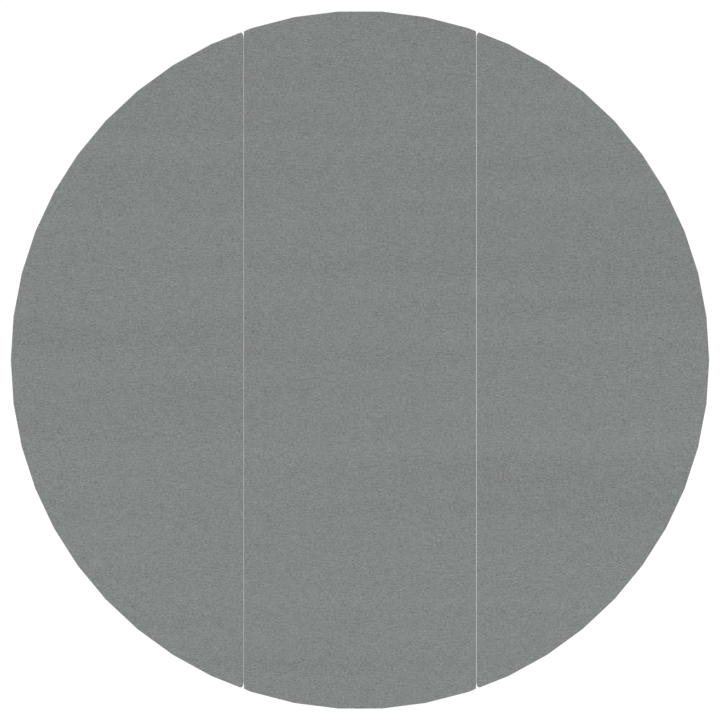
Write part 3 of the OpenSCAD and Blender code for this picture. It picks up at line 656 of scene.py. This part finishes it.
PANELS = {"left": "left_wing", "centre": "centre_panel", "right": "right_wing"}
for side, body in PANELS.items():
    face = face_cloth(side, body)
    strip = edging(side, body)
    hem_row = stitch_row(side + "_hem_stitches", side, body, HEM_STITCH, BACK_Y + 0.1 * MM,
                         1.1 * MM)
    side_row = stitch_row(side + "_side_stitches", side, body, -0.05 * MM, SEW_Y + 1.6 * MM,
                          1.0 * MM, on_hem=False, rim_only=True)


def seam_felt(side, lip_w, proud, outwards):
    """The pale strip in a seam: a slim profile that ends in front in a rounded lip, carried up
    the seam and drawn in at both ends to a pole. The lip stands proud of the cloth and leans
    outwards."""
    low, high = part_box(side + "_seam_bead")
    low.y = FRONT_Y - proud
    middle_y = (low.y + high.y) / 2
    t = (high.x - low.x) / 2
    middle = (high.x + low.x) / 2
    body_share = np.array([0.5, 1, 1, 1, 1, 1])
    behind = np.array([0, -0.3, -1, -4]) * MM
    shoulder_y = low.y + 0.35 * MM
    a = np.radians([0, 30, 60, 90])
    x = np.concatenate([t * body_share, lip_w / 2 - LIP_R + LIP_R * np.cos(a)])
    y = np.concatenate([high.y + behind * (high.y - FRONT_Y) / (12.5 * MM),
                        [shoulder_y + 1.5 * MM, shoulder_y],
                        low.y + LIP_R - LIP_R * np.sin(a)])
    x, y = np.concatenate([x, -x[::-1]]), np.concatenate([y, y[::-1]])
    shoulder = len(body_share) - 1
    x[shoulder:-shoulder] += math.copysign(outwards, middle)
    z = np.concatenate([[low.z], np.linspace(low.z + 0.3 * MM, high.z - 0.3 * MM, 60), [high.z]])
    drawn = np.ones(len(z))
    drawn[[0, -1]] = 0.6
    drawn_y = np.where(drawn < 1, 0.97, 1)[:, None]
    rings = np.stack([middle + drawn[:, None] * x, middle_y + drawn_y * (y - middle_y),
                      z[:, None] + 0 * x], -1)
    points, faces = closed_ends(rings, [middle, middle_y, low.z], [middle, middle_y, high.z])
    piece = make_piece(side + "_seam_felt", points, faces, felt)
    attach(piece, "centre_panel")
    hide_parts(side + "_seam_bead")


seam_felt("left", 0.9 * MM, 0.1 * MM, 0.15 * MM)
seam_felt("right", 1.25 * MM, 0.2 * MM, 0.25 * MM)


# ---------------------------------------------------------------- clamp knob
def clamp_knob():
    """A lobed knob on a plain neck. A profile of radius and depth, with rounded edges and a
    dished face, is turned about the screw's axis, and the radius swings with the cosine of six
    times the angle where the profile is wide."""
    low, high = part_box("clamp_knob")
    middle_x, middle_z = (low.x + high.x) / 2, (low.z + high.z) / 2
    across = (high.z - low.z) / 2
    deep = high.y - low.y
    neck_r = np.array([3, 8, 8, 8, 8]) * MM
    neck_depth = [0, 0, 0.12, 0.2, 0.235]
    head_r = across * np.array([0.55, 0.80, 0.94, 1.0, 1.0, 0.97, 0.88, 0.72, 0.45, 0.2])
    head_depth = [0.25, 0.26, 0.31, 0.42, 0.80, 0.90, 0.97, 1.0, 0.985, 0.975]
    r = np.concatenate([neck_r, head_r])
    y = low.y + deep * np.concatenate([neck_depth, head_depth])
    swing = np.clip((r / across - 0.5) / 0.5, 0, 1)[:, None]
    turn = np.linspace(0, 2 * math.pi, 96, endpoint=False)
    lobes = 1 - 0.075 * swing * (1 - np.cos(6 * turn + math.pi / 2))
    radius = r[:, None] * lobes
    rings = np.stack([middle_x + radius * np.cos(turn), y[:, None] + 0 * radius,
                      middle_z + radius * np.sin(turn)], -1)
    points, faces = closed_ends(rings, [middle_x, low.y, middle_z],
                                [middle_x, low.y + 0.97 * deep, middle_z])
    piece = make_piece("lobed_knob", points, faces, knob_nylon)
    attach(piece, "clamp")
    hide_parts("clamp_knob")


clamp_knob()


# ---------------------------------------------------------------- floor, light and camera
FLOOR_Z = cad_box[0].z - 0.25
FLOOR_R = 4.6
FLOOR_RINGS = 12
FLOOR_SIDES = 96
FILL = 0.60                               # light from the surround at eye level and below
RISE = 0.61                               # how much more comes from straight above


def floor():
    """A round pale floor of rings about the object. It fades into the background at its edge."""
    ring = np.linspace(0.02, 1, FLOOR_RINGS)[:, None] * FLOOR_R
    turn = np.linspace(0, 2 * math.pi, FLOOR_SIDES, endpoint=False)
    points = np.stack([ring * np.cos(turn), ring * np.sin(turn), FLOOR_Z + 0 * ring * turn], -1)
    points = np.vstack([points.reshape(-1, 3), [[0, 0, FLOOR_Z]]])
    mesh = bpy.data.meshes.new("floor")
    faces = grid_faces(FLOOR_RINGS, FLOOR_SIDES)[:, ::-1].tolist() \
        + fan_faces(FLOOR_RINGS * FLOOR_SIDES, 0, FLOOR_SIDES).tolist()
    mesh.from_pydata(points.tolist(), [], faces)
    made = bpy.data.materials.new("pale_floor")
    made.use_nodes = True
    tree = made.node_tree
    tree.nodes.clear()
    add = named_nodes(tree)
    place = add("ShaderNodeTexCoord").outputs["Object"]
    flat = add("ShaderNodeVectorMath", {0: place, 1: (1, 1, 0)}, operation="MULTIPLY").outputs[0]
    far = add("ShaderNodeVectorMath", {0: flat}, operation="LENGTH").outputs["Value"]
    fade = add("ShaderNodeMapRange", {0: far, 1: 0.35 * FLOOR_R, 2: 0.98 * FLOOR_R, 3: 0.0, 4: 1.0},
               interpolation_type="SMOOTHSTEP").outputs[0]
    noise = spread_noise(add, place, (3, 3, 3), 4.0)
    tone = maths(add, "ADD", signed(add, noise, 0.02), 0.66)
    colour = add("ShaderNodeCombineColor", {0: tone, 1: tone, 2: tone}).outputs[0]
    pale = add("ShaderNodeBsdfDiffuse", {"Color": colour}).outputs[0]
    clear = add("ShaderNodeBsdfTransparent").outputs[0]
    mixed = add("ShaderNodeMixShader", {0: fade, 1: pale, 2: clear}).outputs[0]
    add("ShaderNodeOutputMaterial", {"Surface": mixed})
    mesh.materials.append(made)
    piece = bpy.data.objects.new("floor", mesh)
    bpy.context.scene.collection.objects.link(piece)


def backdrop_light():
    """A white surround: full white where it is seen, and softer as the light it gives."""
    world = bpy.data.worlds.new("white_surround")
    world.use_nodes = True
    tree = world.node_tree
    tree.nodes.clear()
    add = named_nodes(tree)
    seen = add("ShaderNodeLightPath").outputs["Is Camera Ray"]
    white = add("ShaderNodeBackground", {"Color": (1, 1, 1, 1), "Strength": 1.02}).outputs[0]
    up = add("ShaderNodeSeparateXYZ", {0: add("ShaderNodeTexCoord").outputs["Generated"]}).outputs["Z"]
    lit = add("ShaderNodeMapRange", {0: up, 1: 0.0, 2: 1.0, 3: FILL, 4: FILL + RISE}).outputs[0]
    fill = add("ShaderNodeBackground", {"Color": (1, 1, 1, 1), "Strength": lit}).outputs[0]
    mixed = add("ShaderNodeMixShader", {0: seen, 1: fill, 2: white}).outputs[0]
    add("ShaderNodeOutputWorld", {"Surface": mixed})
    bpy.context.scene.world = world


def soft_light(name, place, strength, spread):
    """A far, wide, soft lamp that shines from its place towards the disc's middle."""
    lamp = bpy.data.lights.new(name, "SUN")
    lamp.energy = strength
    lamp.angle = math.radians(spread)
    holder = bpy.data.objects.new(name, lamp)
    holder.location = place
    aim = Vector((0, 0, MIDDLE_Z)) - Vector(place)
    holder.rotation_euler = aim.to_track_quat("-Z", "Y").to_euler()
    bpy.context.scene.collection.objects.link(holder)


floor()
backdrop_light()
soft_light("front_light", (-2.0, -4.0, 4.0), 1.25, 40)
soft_light("back_light", (1.8, 3.6, 4.4), 0.6, 50)

CAMERA_FAR = 20.0
SENSOR_W = 36                             # in millimetres, as Blender keeps it
FRAME_W = 1.5465                          # width of the view at the panels
camera = bpy.data.objects.new("camera", bpy.data.cameras.new("camera"))
camera.data.sensor_width = SENSOR_W
camera.data.lens = SENSOR_W * CAMERA_FAR / FRAME_W
camera.data.clip_end = 200
camera.location = (0, FRONT_Y - CAMERA_FAR, MIDDLE_Z)
camera.rotation_euler = (math.pi / 2, 0, 0)
bpy.context.scene.collection.objects.link(camera)
bpy.context.scene.camera = camera
bpy.context.scene.view_settings.view_transform = "Standard"
